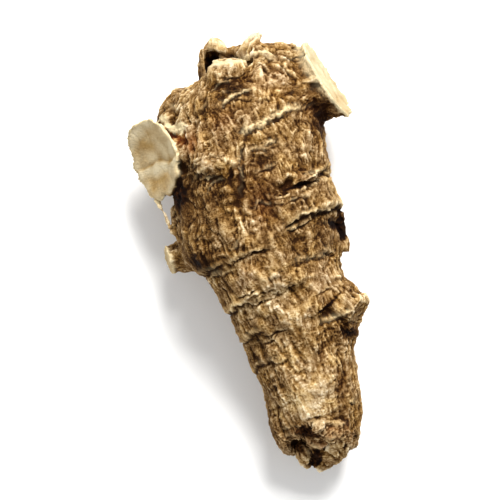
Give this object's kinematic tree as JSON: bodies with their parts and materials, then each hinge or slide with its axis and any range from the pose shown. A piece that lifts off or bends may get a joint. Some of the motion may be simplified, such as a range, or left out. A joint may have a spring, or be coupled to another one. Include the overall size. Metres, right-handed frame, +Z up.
{
  "type": "american ginseng root",
  "caption": "Dried American ginseng root lying down: a stout wrinkled taproot with growth rings, knife-cut side roots, a broken stem base and a torn thin end.",
  "frame": {"origin": "middle of the root's outline as seen from above, on the surface that the root lies on", "axes": "+X across the root, +Y along it from the torn thin end to the crown, +Z up from the surface that it lies on"},
  "size_m": [0.0441, 0.0785, 0.0261],
  "materials": {
    "bark": "matt, dry and wrinkled"
  },
  "bodies": {
    "root": {"ginseng_root": "bark"}
  },
  "joints": []
}
